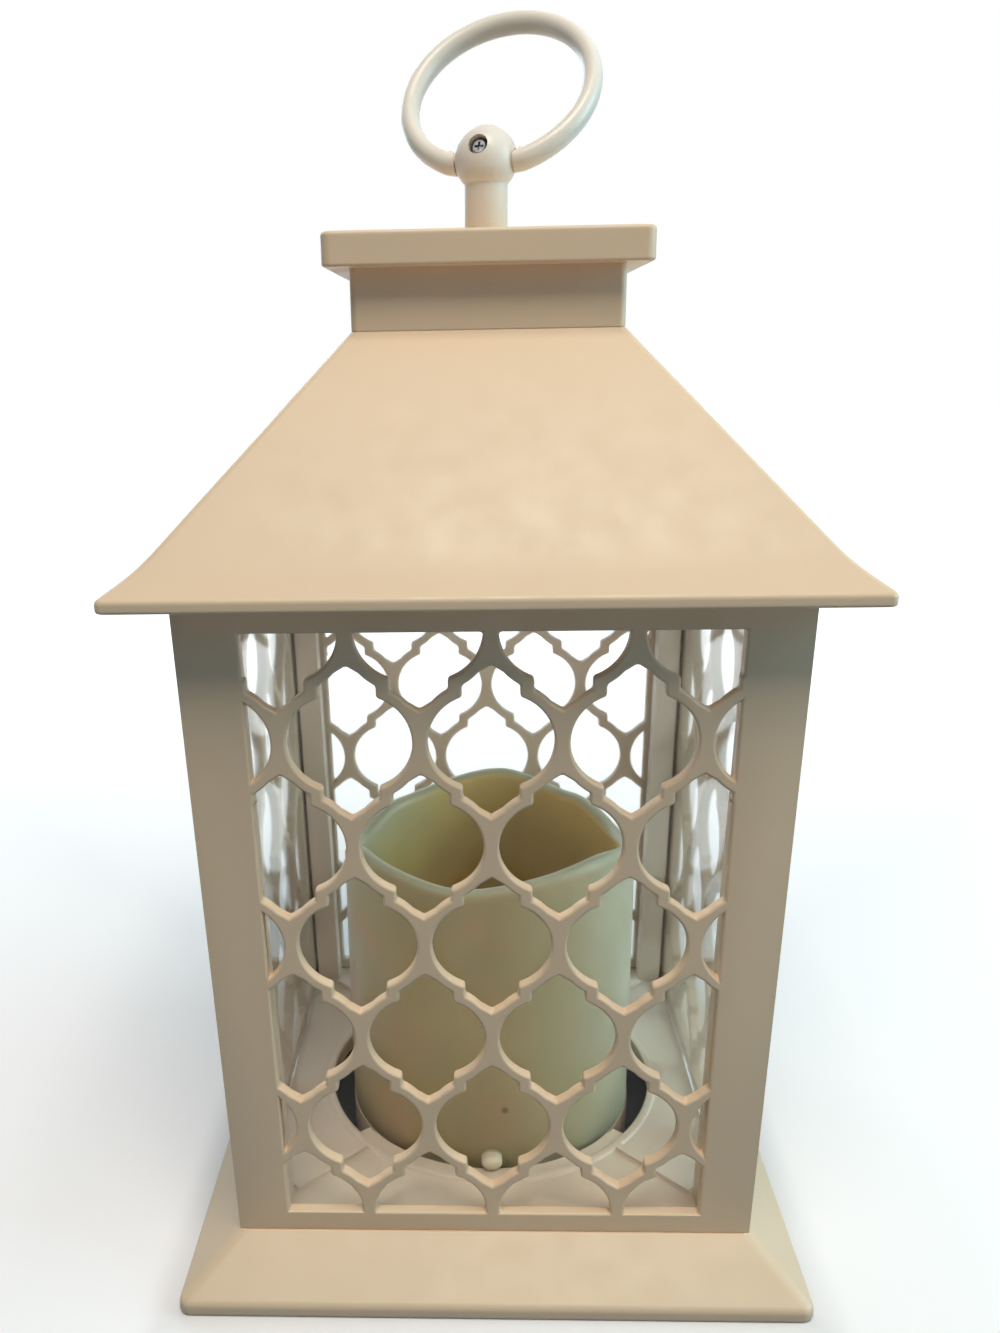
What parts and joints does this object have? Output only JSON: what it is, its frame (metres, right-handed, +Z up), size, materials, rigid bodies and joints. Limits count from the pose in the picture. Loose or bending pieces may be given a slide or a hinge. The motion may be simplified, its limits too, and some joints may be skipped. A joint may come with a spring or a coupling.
{
  "type": "lantern",
  "caption": "Square garden lantern with pierced lattice walls, clear panes, pyramid roof, turning finial with a swinging ring, and a battery candle locked in from below.",
  "frame": {"origin": "middle of the base, on the surface that the lantern stands on", "axes": "+Z up, -Y is the front that the picture shows, +X to the right seen from the front"},
  "size_m": [0.1554, 0.1554, 0.3],
  "materials": {
    "white_plastic": "warm white moulded plastic, satin",
    "inner_plastic": "white moulded plastic",
    "clear_plastic": "clear glossy sheet",
    "wax_plastic": "translucent ivory, like wax",
    "steel": "plated steel",
    "black_plastic": "black moulded plastic",
    "led_lens": "amber clear lens",
    "board": "green circuit board",
    "battery_wrap": "plain printed wrap on a metal can",
    "red_wire": "red insulation"
  },
  "bodies": {
    "lantern": {"plinth": "white_plastic", "floor_tray": "inner_plastic", "lattice_panel_front": "white_plastic", "lattice_panel_right": "white_plastic", "lattice_panel_rear": "white_plastic", "lattice_panel_left": "white_plastic", "clear_pane_front": "clear_plastic", "clear_pane_right": "clear_plastic", "clear_pane_rear": "clear_plastic", "clear_pane_left": "clear_plastic", "corner_post_rear_right": "inner_plastic", "corner_post_rear_left": "inner_plastic", "corner_post_front_left": "inner_plastic", "corner_post_front_right": "inner_plastic", "foot_screw_rear_right": "steel", "foot_screw_rear_left": "steel", "foot_screw_front_left": "steel", "foot_screw_front_right": "steel", "frame_screw_rear_right": "steel", "frame_screw_rear_left": "steel", "frame_screw_front_left": "steel", "frame_screw_front_right": "steel", "top_frame": "inner_plastic", "roof": "white_plastic", "neck": "white_plastic", "cap": "white_plastic"},
    "finial": {"finial": "white_plastic", "finial_washer": "steel", "finial_screw": "steel", "ring_lock_screw": "steel"},
    "ring": {"ring_handle": "white_plastic"},
    "candle": {"candle_shell": "wax_plastic", "candle_pool": "wax_plastic", "candle_base": "white_plastic", "led_socket": "white_plastic", "led": "led_lens", "circuit_board": "board", "lead_red": "red_wire", "lead_black": "black_plastic", "battery_1": "battery_wrap", "battery_2": "battery_wrap", "battery_3": "battery_wrap", "contact_spring_1": "steel", "contact_spring_2": "steel", "contact_spring_3": "steel", "contact_plate_front": "steel", "contact_plate_rear": "steel", "switch_body": "black_plastic"},
    "door": {"battery_door": "white_plastic"},
    "knob": {"switch_knob": "black_plastic"}
  },
  "joints": [
    {"name": "finial_turn", "type": "hinge", "parent": "lantern", "child": "finial", "pos_m": [0, 0, 0.246], "axis": [0, 0, 1], "continuous": true},
    {"name": "ring_swing", "type": "hinge", "parent": "finial", "child": "ring", "pos_m": [0, 0, 0.2636], "axis": [0.9563, -0.2924, 0], "range_deg": [-70, 142]},
    {"name": "candle_lock", "type": "hinge", "parent": "lantern", "child": "candle", "pos_m": [0, 0, 0], "axis": [0, 0, 1], "range_deg": [0, 90]},
    {"name": "battery_door_hinge", "type": "hinge", "parent": "candle", "child": "door", "pos_m": [0, -0.0271, 0.0028], "axis": [-1, 0, 0], "range_deg": [0, 85]},
    {"name": "switch_slide", "type": "slide", "parent": "candle", "child": "knob", "axis": [1, 0, 0], "range_m": [0, 0.003]}
  ]
}
